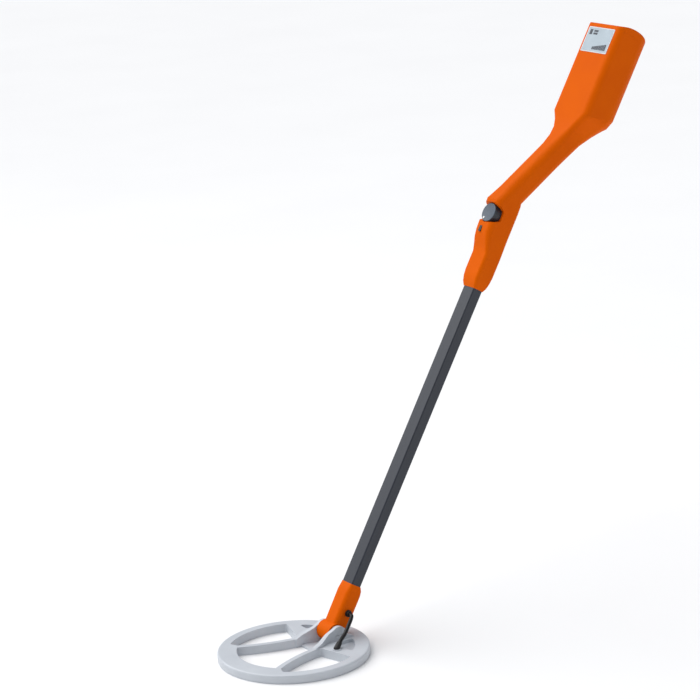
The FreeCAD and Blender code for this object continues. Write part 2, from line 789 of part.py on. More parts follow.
def build_casing():
    """The hollow handle and housing before it is split into two halves."""
    outside = loft(COLLAR + POD + GRIP + NECK + HOUSING)
    hollow_start = straight(36.0, 15.9, -14.0, 606.5, 5.0)
    wall = -dim("casing_wall")
    inside = loft([hollow_start, COLLAR[-1]] + POD + GRIP + NECK + HOUSING, grow=wall)
    casing = outside.cut(inside)
    liner = knob_well(dim("casing_wall")).fuse(door_recess(dim("casing_wall")))
    casing = casing.fuse(outside.common(liner))
    for front, station in CASING_SCREWS:
        boss = cylinder_x(4.8, -60, 0, front, station).fuse(cylinder_x(3.6, 0, 60, front, station))
        casing = casing.fuse(boss.common(outside))
    casing = casing.cut(knob_well()).cut(door_recess())
    battery_low = dim("battery_station") - 1.5
    casing = casing.cut(block((-13.7, 13.7), (-130, -90), (battery_low, battery_low + 52)))
    casing = casing.cut(tube_bore(550, dim("tube_start") + dim("tube_length") + 0.2))
    casing = casing.cut(cable_mouth())
    casing = casing.cut(screw_hole(dim("collar_screw_station"), 18.0))
    shaft_hole = cylinder_front(dim("shaft_radius") + 0.08, 0, 40, 0, dim("knob_station"))
    casing = casing.cut(shaft_hole)
    for front, station in CASING_SCREWS:
        bore = cylinder_x(dim("screw_radius") + 0.02, -60, 10.5, front, station)
        seat = cylinder_x(dim("screw_head_radius") + 0.2, -60, -SCREW_DEPTH, front, station)
        casing = casing.cut(bore).cut(seat)
    return casing


def cable_mouth():
    """The way from the collar's socket into the hollow of the pod."""
    return block((-9, 9), (-6.5, 7), (600, 608))


CASING = build_casing()


def build_handle_right():
    """The right half, with posts for the circuit board."""
    half = side_of(CASING, 1)
    face = dim("board_face") + dim("board_thickness")
    for front, station in BOARD_POSTS:
        post = cylinder_x(3.0, face, WIDE / 2 - 1.5, front, station)
        hole = cylinder_x(1.02, face, WIDE / 2 - 4.0, front, station)
        half = half.fuse(post).cut(hole)
    return half


def build_handle_left():
    """The left half, with the speaker grille."""
    half = side_of(CASING, -1)
    for k in range(-2, 3):
        length = 12.0 - 2.0 * abs(k)
        station = SPEAKER_STATION + 5.0 * k
        reach = (SPEAKER_FRONT - length, SPEAKER_FRONT + length)
        half = half.cut(block((-45, -30), reach, (station - 1.0, station + 1.0)))
    return half


BOARD_POSTS = ((-50.0, 885.0), (-50.0, 951.0), (-76.0, 918.0))
SPEAKER_FRONT = -62.5
SPEAKER_STATION = 944.0
feature("handle_right", build_handle_right(), POLE)
feature("handle_left", build_handle_left(), POLE)


def build_casing_screws():
    """The identical screws that close the casing from the left side."""
    screws = []
    for front, station in CASING_SCREWS:
        head_top = -SCREW_DEPTH - dim("screw_head_height")
        head = cylinder_x(dim("screw_head_radius"), head_top, -SCREW_DEPTH, front, station)
        shank = cylinder_x(dim("screw_radius"), -SCREW_DEPTH - 0.5, 9.5, front, station)
        drive_depth = (-SCREW_DEPTH - 3, -SCREW_DEPTH - 1)
        drive = block(drive_depth, (front - 0.5, front + 0.5), (station - 2.0, station + 2.0))
        screws.append(head.fuse(shank).cut(drive))
    return Part.makeCompound(screws)


def build_top_cap():
    """The end cap of the housing: domed from front to back and rounded into the back face."""
    low = CASING_TOP + 0.05
    front_edge = CASING_TOP + dim("cap_height")
    crown = front_edge + dim("cap_crown")
    blank = loft([straight(WIDE, FRONT, BACK, station, 10.5, 24.0) for station in (low, crown + 5)])
    profile = [
        Part.LineSegment(on_pole(-60, 0, 900), on_pole(-60, 0, front_edge)).toShape(),
        Part.LineSegment(on_pole(-60, 0, front_edge), on_pole(-60, FRONT, front_edge)).toShape(),
        Part.Arc(
            on_pole(-60, FRONT, front_edge),
            on_pole(-60, (FRONT + BACK) / 2, crown),
            on_pole(-60, BACK, front_edge - 3.5),
        ).toShape(),
        Part.LineSegment(on_pole(-60, BACK, front_edge - 3.5), on_pole(-60, BACK, 900)).toShape(),
        Part.LineSegment(on_pole(-60, BACK, 900), on_pole(-60, 0, 900)).toShape(),
    ]
    dome = Part.Face(Part.Wire(profile)).extrude(Vector(120, 0, 0))
    cap = blank.common(dome)
    cap = cap.makeFillet(1.5, [e for e in cap.Edges if e.BoundBox.ZMin > low + 0.6 and e.Length > 5])
    wall = dim("casing_wall") + 0.1
    lip = [straight(WIDE, FRONT, BACK, station, 10.5, 24.0) for station in (low - 5.0, low + 0.5)]
    cap = cap.fuse(loft(lip, grow=-wall))
    hollow = [straight(WIDE, FRONT, BACK, station, 10.5, 24.0) for station in (low - 6.0, crown + 5)]
    return cap.cut(loft(hollow, grow=-wall - 1.6).common(dome.translated(Vector(0, 0, -2.4))))


feature("casing_screws", build_casing_screws(), POLE)
feature("top_cap", build_top_cap(), POLE)


# ---------------------------------------------------------------- tuning knob

def on_pole_cylinder(name, radius, height, side, front, station, axis):
    """A sheet-bound cylinder placed in the pole frame."""
    item = sheet_cylinder(name, radius, height, on_pole(side, front, station), axis)
    return item


FORWARD = Vector(0, -1, 0)


def build_knob():
    """The round knob, turned from a section: a plain cap with a softened face."""
    body = doc.addObject("PartDesign::Body", "knob_turned")
    sketch = body.newObject("Sketcher::SketchObject", "knob_section")
    plane = [f for f in body.Origin.OriginFeatures if f.Role == "XZ_Plane"][0]
    sketch.AttachmentSupport = [(plane, "")]
    sketch.MapMode = "FlatFace"
    radius = dim("knob_radius")
    tall = dim("knob_height")
    bore = dim("shaft_radius")
    floor = tall - 3.0
    outline = [
        Vector(bore, 0, 0),
        Vector(radius, 0, 0),
        Vector(radius, tall, 0),
        Vector(0, tall, 0),
        Vector(0, floor, 0),
        Vector(bore, floor, 0),
    ]
    count = len(outline)
    for k in range(count):
        sketch.addGeometry(Part.LineSegment(outline[k], outline[(k + 1) % count]), False)
    for k in range(count):
        sketch.addConstraint(Sketcher.Constraint("Coincident", k, 2, (k + 1) % count, 1))
    for k in (0, 2, 4):
        sketch.addConstraint(Sketcher.Constraint("Horizontal", k))
        sketch.addConstraint(Sketcher.Constraint("Vertical", k + 1))
    drives = (
        (Sketcher.Constraint("DistanceX", -1, 1, 0, 1, bore), "Sheet.shaft_radius"),
        (Sketcher.Constraint("DistanceX", -1, 1, 0, 2, radius), "Sheet.knob_radius"),
        (Sketcher.Constraint("DistanceY", 1, 1, 1, 2, tall), "Sheet.knob_height"),
    )
    for constraint, expression in drives:
        index = sketch.addConstraint(constraint)
        sketch.setExpression("Constraints[%d]" % index, expression)
    turn = body.newObject("PartDesign::Revolution", "knob_turn")
    turn.Profile = sketch
    turn.ReferenceAxis = (sketch, ["V_Axis"])
    turn.Angle = 360
    doc.recompute()
    rim = [
        "Edge%d" % (k + 1) for k, edge in enumerate(turn.Shape.Edges)
        if edge.BoundBox.ZMin > tall - 0.1 and edge.BoundBox.XLength > 2 * radius - 1
    ]
    soften = body.newObject("PartDesign::Fillet", "knob_rim")
    soften.Base = (turn, rim)
    soften.Radius = 1.2
    doc.recompute()
    seat = on_pole(0, dim("knob_base"), dim("knob_station"))
    body.Placement = Placement(seat, Rotation(Vector(0, 0, 1), FORWARD))
    return body


def build_knob_parts():
    """Knob, its white pointer dot and its steel shaft; all three turn together."""
    knob_face = dim("knob_base") + dim("knob_height")
    side = -dim("knob_radius") * 0.42
    station = dim("knob_station") - dim("knob_radius") * 0.62
    pit_floor = knob_face - 0.6
    pit = on_pole_cylinder("pointer_pit", "Sheet.pointer_radius", "5", side, pit_floor, station, FORWARD)
    knob = cut("knob", build_knob(), pit)
    knob.Placement = POLE
    keep(knob, "knob")
    dot = on_pole_cylinder("knob_pointer", "Sheet.pointer_radius - 0.02", "0.75",
                           side, pit_floor + 0.02, station, FORWARD)
    dot.Placement = POLE.multiply(dot.Placement)
    keep(dot, "knob_pointer")
    shaft_start = dim("knob_floor") - dim("casing_wall") - 2.0
    shaft_height = "Sheet.knob_base + Sheet.knob_height - 3.1 - %.3f" % shaft_start
    shaft = on_pole_cylinder("shaft_round", "Sheet.shaft_radius - 0.01", shaft_height, 0, shaft_start,
                             dim("knob_station"), FORWARD)
    flat = doc.addObject("Part::Box", "shaft_flat")
    flat.Length = 8
    flat.Width = 6
    flat.Height = 2
    flat.Placement.Base = on_pole(-4, knob_face - 3.0, dim("knob_station") + 2.2)
    shaft = cut("knob_shaft", shaft, flat)
    shaft.Placement = POLE
    keep(shaft, "knob_shaft")


def build_potentiometer():
    """The can of the potentiometer behind the knob, with its bushing and three lugs."""
    face = dim("knob_floor") - dim("casing_wall") - 0.1
    station = dim("knob_station")
    can = cylinder_front(dim("pot_radius"), face - dim("pot_depth"), face, 0, station)
    well = cylinder_front(dim("shaft_radius") + 0.08, face - 3.0, face + 1, 0, station)
    lugs = block((-6, 6), (face - 4.0, face - 1.0), (station - 11.5, station - 7.0))
    return can.fuse(lugs).cut(well)


build_knob_parts()
feature("potentiometer", build_potentiometer(), POLE)


def build_index_mark():
    """The dark inlaid mark that the pointer is read against."""
    front = 28.2
    inlay = block((-3.0 - dim("mark_width") / 2, -3.0 + dim("mark_width") / 2), (front - 0.9, front + 0.35),
                  (643 - dim("mark_length") / 2, 643 + dim("mark_length") / 2))
    upright = [e for e in inlay.Edges if e.BoundBox.XLength < 0.01 and e.BoundBox.ZLength < 0.01]
    return inlay.makeFillet(1.4, upright)


feature("index_mark", build_index_mark().cut(CASING), POLE)


# ---------------------------------------------------------------- label, electronics and battery

def build_label():
    """The silver label plate on the front of the housing."""
    half = dim("label_width") / 2
    low = dim("label_station") - dim("label_length") / 2
    high = dim("label_station") + dim("label_length") / 2
    plate = block((-half, half), (FRONT, FRONT + dim("label_thickness")), (low, high))
    upright = [e for e in plate.Edges if e.BoundBox.XLength < 0.01 and e.BoundBox.ZLength < 0.01]
    return plate.makeFillet(2.5, upright)


def build_board():
    """The circuit board, standing beside the battery."""
    face = dim("board_face")
    thick = (face, face + dim("board_thickness"))
    deep = (-46.0 - dim("board_depth"), -44.0)
    board = block(thick, deep, (876, 876 + dim("board_length")))
    for front, station in BOARD_POSTS:
        board = board.cut(cylinder_x(1.3, face - 1, face + 5, front, station))
    return board


def build_board_parts():
    """The larger components soldered to the board."""
    face = dim("board_face")
    chips = [
        block((face - 2.2, face), (-66, -56), (926, 944)),
        block((face - 2.2, face), (-64, -56), (892, 904)),
        cylinder_x(4.0, face - 11, face, -70, 890),
        cylinder_x(3.2, face - 9, face, -58, 911),
        block((face - 6.0, face), (-52, -47), (896, 910)),
    ]
    return Part.makeCompound(chips)


def build_board_screws():
    """Three small screws that hold the board to its posts."""
    face = dim("board_face")
    screws = []
    for front, station in BOARD_POSTS:
        head = cylinder_x(2.2, face - 1.6, face, front, station)
        screws.append(head.fuse(cylinder_x(1.0, face - 0.5, face + 8, front, station)))
    return Part.makeCompound(screws)


def build_speaker():
    """A small round speaker against the left wall."""
    wall = -WIDE / 2 + dim("casing_wall") + 0.02
    basket = cylinder_x(dim("speaker_radius"), wall, wall + 3.0, SPEAKER_FRONT, SPEAKER_STATION)
    magnet = cylinder_x(8.0, wall + 3.0, wall + dim("speaker_depth"), SPEAKER_FRONT, SPEAKER_STATION)
    cone_space = cylinder_x(dim("speaker_radius") - 2, wall - 1, wall + 1.2, SPEAKER_FRONT, SPEAKER_STATION)
    return basket.fuse(magnet).cut(cone_space)


def build_battery():
    """The nine-volt block battery with its two terminals."""
    back = BACK + dim("door_thickness") + 2.8
    low = dim("battery_station")
    half = dim("battery_width") / 2
    cell = doc.addObject("Part::Box", "battery_case")
    cell.setExpression("Length", "Sheet.battery_width")
    cell.setExpression("Width", "Sheet.battery_depth")
    cell.setExpression("Height", "Sheet.battery_length")
    cell.Placement.Base = on_pole(-half, back + dim("battery_depth"), low)
    rounded = doc.addObject("Part::Fillet", "battery_rounded")
    rounded.Base = cell
    doc.recompute()
    rounded.Edges = [
        (k + 1, 1.5, 1.5) for k, e in enumerate(cell.Shape.Edges)
        if abs(e.Vertexes[0].Z - e.Vertexes[-1].Z) > 1
    ]
    terminals = []
    for name, side in (("terminal_plus", -6.4), ("terminal_minus", 6.4)):
        terminals.append(on_pole_cylinder(name, "3.2", "3", side, back + dim("battery_depth") / 2,
                                          low + dim("battery_length") - 0.5, Vector(0, 0, 1)))
    battery = fuse("battery", rounded, *terminals)
    battery.Placement = POLE
    return keep(battery, "battery")


def build_battery_snap():
    """The snap connector on the battery's terminals."""
    middle = BACK + dim("door_thickness") + 2.8 + dim("battery_depth") / 2
    low = dim("battery_station") + dim("battery_length")
    snap = block((-12.5, 12.5), (middle - 6, middle + 6), (low + 0.6, low + 5.5))
    for side in (-6.4, 6.4):
        snap = snap.cut(Part.makeCylinder(3.25, 3, on_pole(side, middle, low)))
    return snap


def build_battery_door():
    """The sliding battery door with a thumb ridge and two rails."""
    half = dim("door_width") / 2
    low = dim("door_station")
    high = low + dim("door_length")
    plate = block((-half, half), (BACK, BACK + dim("door_thickness")), (low, high))
    ridges = [
        block((-8, 8), (BACK - 0.8, BACK + 0.5), (low + 8 + 3 * k, low + 9.2 + 3 * k))
        for k in range(4)
    ]
    return plate.multiFuse(ridges)


feature("label_plate", build_label(), POLE)
feature("circuit_board", build_board(), POLE)
feature("board_parts", build_board_parts(), POLE)
feature("board_screws", build_board_screws(), POLE)
feature("speaker", build_speaker(), POLE)
build_battery()
feature("battery_snap", build_battery_snap(), POLE)
feature("battery_door", build_battery_door(), POLE)

INNER_LEAD_ROUTE = [
    from_pole(15.4, -2.5, 56),
    from_pole(5.6, -2.5, 56.0),
    from_pole(1.0, 2.8, 76),
    from_pole(0.0, 3.0, 110),
    from_pole(0.0, 3.0, 585),
    from_pole(0.0, 0.5, 612),
    from_pole(4.0, -8.6, 640),
    from_pole(4.5, -8.6, 700),
    from_pole(5.0, -22.0, 734),
    from_pole(5.5, -43.0, 778),
    from_pole(8.0, -62.0, 812),
    from_pole(13.0, -66.0, 848),
    from_pole(16.0, -66.0, 868),
    from_pole(16.2, -66.0, 885),
]
feature("inner_lead", cable(INNER_LEAD_ROUTE, dim("lead_radius")))


# ---------------------------------------------------------------- checks and export

doc.recompute()
for item in doc.Objects:
    if "Invalid" in item.State or "Error" in item.State:
        raise RuntimeError("failed object: " + item.Name)
for item in SUBPARTS:
    if item.Shape.isNull() or not item.Shape.isValid():
        raise RuntimeError("bad shape: " + item.Label)
for item in SUBPARTS:
    item.Shape.exportStep(os.path.join("parts", item.Label + ".step"))
    print("%-18s solids %d volume %.0f" % (item.Label, len(item.Shape.Solids), item.Shape.Volume))
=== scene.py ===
import bpy
import math
from mathutils import Matrix, Vector


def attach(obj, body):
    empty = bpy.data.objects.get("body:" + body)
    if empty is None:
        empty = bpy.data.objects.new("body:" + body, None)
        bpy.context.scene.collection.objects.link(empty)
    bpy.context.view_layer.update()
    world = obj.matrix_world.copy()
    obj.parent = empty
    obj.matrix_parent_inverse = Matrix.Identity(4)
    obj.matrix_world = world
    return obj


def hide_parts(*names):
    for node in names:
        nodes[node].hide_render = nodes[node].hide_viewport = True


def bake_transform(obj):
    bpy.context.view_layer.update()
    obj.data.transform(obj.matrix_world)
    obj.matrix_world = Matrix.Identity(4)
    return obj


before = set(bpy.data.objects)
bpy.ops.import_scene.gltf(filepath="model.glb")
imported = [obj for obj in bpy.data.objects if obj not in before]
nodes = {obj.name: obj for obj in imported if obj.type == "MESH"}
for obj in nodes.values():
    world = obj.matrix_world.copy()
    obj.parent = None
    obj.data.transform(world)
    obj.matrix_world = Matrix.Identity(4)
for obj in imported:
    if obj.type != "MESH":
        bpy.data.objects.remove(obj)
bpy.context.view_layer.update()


# ---- Camera
# A long lens at the right front, looking slightly down, with the whole detector in view.
# The rows of its axes are its right, its up and its backwards.
camera_lens = bpy.data.cameras.new("camera")
camera_lens.lens = 139.8
camera_lens.shift_x = -0.0493
camera_lens.shift_y = 0.0181
camera = bpy.data.objects.new("camera", camera_lens)
bpy.context.scene.collection.objects.link(camera)
camera_place = (3.1205, -1.8878, 1.4263)
camera_axes = Matrix(((0.5628, 0.8252, -0.0484), (-0.1924, 0.1877, 0.9632), (0.8039, -0.5327, 0.2644)))
camera.matrix_world = Matrix.Translation(camera_place) @ camera_axes.transposed().to_4x4()
bpy.context.scene.camera = camera


# ---- Search coil
# A flat ring with two ribs, two hinge ears and a closed rear, injection-moulded in light grey ABS.
# The tool was spark-eroded, which leaves a fine, even grain and soft corners.

def linear(hex_code):
    """An sRGB hex colour as linear red, green, blue and alpha."""
    parts = [int(hex_code[k:k + 2], 16) / 255 for k in (0, 2, 4)]
    return [c / 12.92 if c < 0.04045 else ((c + 0.055) / 1.055) ** 2.4 for c in parts] + [1.0]


def new_material(name):
    """An empty node material."""
    material = bpy.data.materials.new(name)
    material.use_nodes = True
    material.node_tree.nodes.clear()
    return material


def add(material, kind, inputs, **settings):
    """Adds a node with its settings; each input is a value or the socket that feeds it."""
    made = material.node_tree.nodes.new("ShaderNode" + kind)
    for name, value in settings.items():
        setattr(made, name, value)
    for name, value in inputs.items():
        if isinstance(value, bpy.types.NodeSocket):
            material.node_tree.links.new(value, made.inputs[name])
        else:
            made.inputs[name].default_value = value
    return made.outputs


def moulded(piece, node, ease):
    """A piece of a node's solid shape, with its facets joined, corners eased and curves smooth."""
    bpy.ops.object.select_all(action="DESELECT")
    made = bpy.data.objects.new(piece, nodes[node].data.copy())
    made.data.name = piece
    bpy.context.scene.collection.objects.link(made)
    made.select_set(True)
    bpy.context.view_layer.objects.active = made
    bpy.ops.mesh.customdata_custom_splitnormals_clear()
    bpy.ops.object.mode_set(mode="EDIT")
    bpy.ops.mesh.select_all(action="SELECT")
    bpy.ops.mesh.remove_doubles(threshold=0.000005)
    bpy.ops.mesh.dissolve_limited(angle_limit=math.radians(0.4))
    bpy.ops.object.mode_set(mode="OBJECT")
    if ease:
        bevel = made.modifiers.new("eased", "BEVEL")
        bevel.width = ease
        bevel.segments = 2
        bevel.limit_method = "ANGLE"
        bevel.angle_limit = math.radians(38)
        bevel.use_clamp_overlap = True
        bpy.ops.object.modifier_apply(modifier="eased")
    bpy.ops.object.shade_smooth_by_angle(angle=math.radians(34))
    even = made.modifiers.new("even", "WEIGHTED_NORMAL")
    even.keep_sharp = True
    bpy.ops.object.modifier_apply(modifier="even")
    return made


def finish_piece(piece, material, body, slot_name, *replaced):
    """Gives a piece its material and its body, and hides the nodes that it stands for; slot_name is not
    used.
    """
    piece.data.materials.clear()
    piece.data.materials.append(material)
    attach(piece, body)
    if replaced:
        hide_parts(*replaced)


def paint(node, material):
    """Gives a carried-over node its material."""
    nodes[node].data.materials.clear()
    nodes[node].data.materials.append(material)


# Light grey ABS: satin, index 1.54, a trace of blue; the grain is drawn at 1.2 mm so that it shows.
grey_abs = new_material("moulded_grey_abs")
place = add(grey_abs, "TexCoord", {})["Object"]
cloud = add(grey_abs, "TexNoise", {"Vector": place, "Scale": 28.0, "Detail": 3.0})["Fac"]
grain = add(grey_abs, "TexNoise", {"Vector": place, "Scale": 830.0, "Detail": 2.0})["Fac"]
tone = add(grey_abs, "Mix", {0: cloud, 6: linear("B6BBC2"), 7: linear("CACFD5")}, data_type="RGBA")[2]
satin = add(grey_abs, "MapRange", {"Value": cloud, "To Min": 0.36, "To Max": 0.5})["Result"]
relief = add(grey_abs, "Bump", {"Strength": 0.35, "Distance": 0.00005, "Height": grain})["Normal"]
surface = add(grey_abs, "BsdfPrincipled", {
    "Base Color": tone, "Roughness": satin, "IOR": 1.54, "Normal": relief})["BSDF"]
add(grey_abs, "OutputMaterial", {"Surface": surface})

coil = moulded("coil", "coil_shell", 0.0005)
finish_piece(coil, grey_abs, "coil", "coil_abs", "coil_shell")

# ---- Coil base plate
# A flat ABS plate of the coil's own outline, screwed on from below with countersunk screws.
# It takes the scuffs of the ground.
base_plate = moulded("coil_base_plate", "coil_cover", 0.0003)
finish_piece(base_plate, grey_abs, "coil", "coil_abs", "coil_cover")

# Zinc-plated steel: a bright grey metal, faintly mottled by the plating.
zinc_steel = new_material("zinc_plated_steel")
place = add(zinc_steel, "TexCoord", {})["Object"]
mottle = add(zinc_steel, "TexNoise", {"Vector": place, "Scale": 900.0, "Detail": 2.0})["Fac"]
tone = add(zinc_steel, "Mix", {0: mottle, 6: linear("A9ACB0"), 7: linear("C6C8CA")}, data_type="RGBA")[2]
shine = add(zinc_steel, "MapRange", {"Value": mottle, "To Min": 0.24, "To Max": 0.42})["Result"]
surface = add(zinc_steel, "BsdfPrincipled", {
    "Base Color": tone, "Roughness": shine, "Metallic": 1.0})["BSDF"]
add(zinc_steel, "OutputMaterial", {"Surface": surface})
for screws in ("cover_screws", "tube_screws", "casing_screws", "board_screws"):
    paint(screws, zinc_steel)

# ---- Windings
# Two bundles of enamelled copper wire laid in the ring's channel and tied.
# The strands show as fine ridges 1 mm apart under a warm varnish.
copper = new_material("enamelled_copper_wire")
place = add(copper, "TexCoord", {})["Object"]
strands = add(copper, "TexWave", {"Vector": place, "Scale": 320.0, "Distortion": 0.6},
              bands_direction="Z")["Fac"]
tone = add(copper, "Mix", {0: strands, 6: linear("7A3415"), 7: linear("C46A35")}, data_type="RGBA")[2]
relief = add(copper, "Bump", {"Strength": 0.6, "Distance": 0.0001, "Height": strands})["Normal"]
surface = add(copper, "BsdfPrincipled", {
    "Base Color": tone, "Roughness": 0.3, "Metallic": 0.85, "Normal": relief})["BSDF"]
add(copper, "OutputMaterial", {"Surface": surface})
paint("transmit_winding", copper)
paint("receive_winding", copper)

# ---- Hinge
# A nylon bolt and nut through ears and lug, kept free of metal so near the coil, and two rubber
# washers that grip the foot so that the coil stays where it is set.

# Nylon: slightly waxy light grey, index 1.53, with a very fine moulded grain.
nylon = new_material("moulded_nylon")
place = add(nylon, "TexCoord", {})["Object"]
cloud = add(nylon, "TexNoise", {"Vector": place, "Scale": 180.0, "Detail": 3.0})["Fac"]
tone = add(nylon, "Mix", {0: cloud, 6: linear("BAC0C5"), 7: linear("C6CBD0")}, data_type="RGBA")[2]
relief = add(nylon, "Bump", {"Strength": 0.2, "Distance": 0.00004, "Height": cloud})["Normal"]
surface = add(nylon, "BsdfPrincipled", {
    "Base Color": tone, "Roughness": 0.42, "IOR": 1.53, "Normal": relief})["BSDF"]
add(nylon, "OutputMaterial", {"Surface": surface})
hinge_bolt = moulded("hinge_bolt", "pivot_bolt", 0.00015)
finish_piece(hinge_bolt, nylon, "coil", "nylon_grey", "pivot_bolt")
hinge_nut = moulded("hinge_nut", "pivot_nut", 0.0003)
finish_piece(hinge_nut, nylon, "coil", "nylon_grey", "pivot_nut")

# Black rubber: dull and slightly dusty, with a soft uneven surface.
rubber = new_material("black_rubber")
place = add(rubber, "TexCoord", {})["Object"]
dust = add(rubber, "TexNoise", {"Vector": place, "Scale": 260.0, "Detail": 4.0})["Fac"]
tone = add(rubber, "Mix", {0: dust, 6: linear("08090A"), 7: linear("131416")}, data_type="RGBA")[2]
dull = add(rubber, "MapRange", {"Value": dust, "To Min": 0.5, "To Max": 0.72})["Result"]
relief = add(rubber, "Bump", {"Strength": 0.3, "Distance": 0.00006, "Height": dust})["Normal"]
surface = add(rubber, "BsdfPrincipled", {
    "Base Color": tone, "Roughness": dull, "IOR": 1.52, "Normal": relief})["BSDF"]
add(rubber, "OutputMaterial", {"Surface": surface})
paint("friction_washers", rubber)

# ---- Foot
# The socket that carries the pole, moulded in the same orange ABS as the handle. Its round lug
# turns between the coil's ears, and one cross screw holds the tube in it.

# Orange ABS: deep, clean orange, satin, index 1.54; grain drawn at 1.2 mm, with faint hand marks.
orange_abs = new_material("moulded_orange_abs")
place = add(orange_abs, "TexCoord", {})["Object"]
cloud = add(orange_abs, "TexNoise", {"Vector": place, "Scale": 22.0, "Detail": 3.0})["Fac"]
grain = add(orange_abs, "TexNoise", {"Vector": place, "Scale": 830.0, "Detail": 2.0})["Fac"]
tone = add(orange_abs, "Mix", {0: cloud, 6: linear("D45600"), 7: linear("E06200")}, data_type="RGBA")[2]
satin = add(orange_abs, "MapRange", {"Value": cloud, "To Min": 0.4, "To Max": 0.52})["Result"]
relief = add(orange_abs, "Bump", {"Strength": 0.35, "Distance": 0.00005, "Height": grain})["Normal"]
surface = add(orange_abs, "BsdfPrincipled", {
    "Base Color": tone, "Roughness": satin, "IOR": 1.54, "Specular IOR Level": 0.03,
    "Normal": relief})["BSDF"]
add(orange_abs, "OutputMaterial", {"Surface": surface})
foot = moulded("foot", "foot_socket", 0.0005)
finish_piece(foot, orange_abs, "handle", "casing_abs", "foot_socket")

# ---- Pole
# A rectangular metal tube with rounded corners, powder-coated dark grey. Two cross screws fix it
# in the foot and in the handle.

pole_lean = math.radians(30.83)

# Powder coat on drawn tube: dark blue-grey, with an orange-peel skin and faint lines along the tube.
powder_coat = new_material("powder_coated_tube")
place = add(powder_coat, "TexCoord", {})["Object"]
along = add(powder_coat, "Mapping", {"Vector": place, "Rotation": (pole_lean, 0.0, 0.0)})["Vector"]
drawn = add(powder_coat, "Mapping", {"Vector": along, "Scale": (420.0, 420.0, 3.0)})["Vector"]
lines = add(powder_coat, "TexNoise", {"Vector": drawn, "Scale": 1.0, "Detail": 2.0})["Fac"]
peel = add(powder_coat, "TexNoise", {"Vector": place, "Scale": 600.0, "Detail": 1.0})["Fac"]
tone = add(powder_coat, "Mix", {0: lines, 6: linear("1B202A"), 7: linear("272D39")}, data_type="RGBA")[2]
sheen = add(powder_coat, "MapRange", {"Value": lines, "To Min": 0.28, "To Max": 0.4})["Result"]
relief = add(powder_coat, "Bump", {"Strength": 0.4, "Distance": 0.00006, "Height": peel})["Normal"]
surface = add(powder_coat, "BsdfPrincipled", {
    "Base Color": tone, "Roughness": sheen, "IOR": 1.5, "Normal": relief})["BSDF"]
add(powder_coat, "OutputMaterial", {"Surface": surface})
pole = moulded("pole", "pole_tube", 0.0)
finish_piece(pole, powder_coat, "handle", "tube_paint", "pole_tube")

# ---- Coil cable
# A round black lead from the foot's grommet to a rubber boot on the coil. It is held at both ends
# and has just enough slack for the hinge.
paint("cable_grommet", rubber)
boot = moulded("cable_boot", "coil_boot", 0.0002)
finish_piece(boot, rubber, "coil", "rubber_black", "coil_boot")

# Soft PVC: black with a low gloss, smoother than the rubber round it.
pvc = new_material("soft_black_pvc")
place = add(pvc, "TexCoord", {})["Object"]
cloud = add(pvc, "TexNoise", {"Vector": place, "Scale": 150.0, "Detail": 3.0})["Fac"]
tone = add(pvc, "Mix", {0: cloud, 6: linear("060607"), 7: linear("0D0D0F")}, data_type="RGBA")[2]
gloss = add(pvc, "MapRange", {"Value": cloud, "To Min": 0.3, "To Max": 0.42})["Result"]
surface = add(pvc, "BsdfPrincipled", {
    "Base Color": tone, "Roughness": gloss, "IOR": 1.53, "Specular IOR Level": 0.3})["BSDF"]
add(pvc, "OutputMaterial", {"Surface": surface})
paint("inner_lead", pvc)

pole_place = Matrix.Translation((0, 0.0545, 0)) @ Matrix.Rotation(-pole_lean, 4, "X")
boot_base = Vector((0.050, 0.041, 0.0146))
boot_way = Vector((-0.36, 0.74, 0.57)).normalized()
grommet_mouth = pole_place @ Vector((0.0210, 0.0025, 0.056))
boot_mouth = boot_base + boot_way * 0.0155
cable_points = [
    pole_place @ Vector((0.0185, 0.0025, 0.056)),
    grommet_mouth,
    Vector((0.0268, 0.0848, 0.0458)),
    Vector((0.0310, 0.0740, 0.0335)),
    Vector((0.0380, 0.0625, 0.0255)),
    boot_mouth,
    boot_base + boot_way * 0.0080,
]
cable_line = bpy.data.curves.new("coil_lead", "CURVE")
cable_line.dimensions = "3D"
spline = cable_line.splines.new("NURBS")
spline.points.add(len(cable_points) - 1)
for point, corner in zip(spline.points, cable_points):
    point.co = (*corner, 1.0)
spline.order_u = 3
spline.use_endpoint_u = True
spline.resolution_u = 12
cable_line.bevel_depth = 0.0029
cable_line.bevel_resolution = 6
cable_line.use_fill_caps = True
lead = bpy.data.objects.new("coil_lead", cable_line)
bpy.context.scene.collection.objects.link(lead)
bpy.ops.object.select_all(action="DESELECT")
lead.select_set(True)
bpy.context.view_layer.objects.active = lead
bpy.ops.object.convert(target="MESH")
lead = bpy.context.view_layer.objects.active
bpy.ops.object.shade_smooth_by_angle(angle=math.radians(40))
lead.data.materials.clear()
lead.data.materials.append(pvc)
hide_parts("coil_cable")
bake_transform(lead)

# ---- Handle casing
# Two ABS half shells that meet on the middle plane and are closed by screws from the left: collar,
# pod under the knob, slim grip, neck and housing in one flowing form, rounded in the shape itself.
casing_right = moulded("casing_right", "handle_right", 0.0)
finish_piece(casing_right, orange_abs, "handle", "casing_abs", "handle_right")
casing_left = moulded("casing_left", "handle_left", 0.0)
finish_piece(casing_left, orange_abs, "handle", "casing_abs", "handle_left")

# ---- Top cap
# The domed lid of the housing, a hollow ABS moulding with a rounded edge.
# A lip below it fits inside both halves and closes them at the end.
cap = moulded("housing_cap", "top_cap", 0.0002)
finish_piece(cap, orange_abs, "handle", "casing_abs", "top_cap")

# ---- Tuning knob
# A round moulded knob with a dark ribbed skirt and a paler face, pushed on a steel shaft.
# A white dot in the face shows the setting against a black mark on the casing.

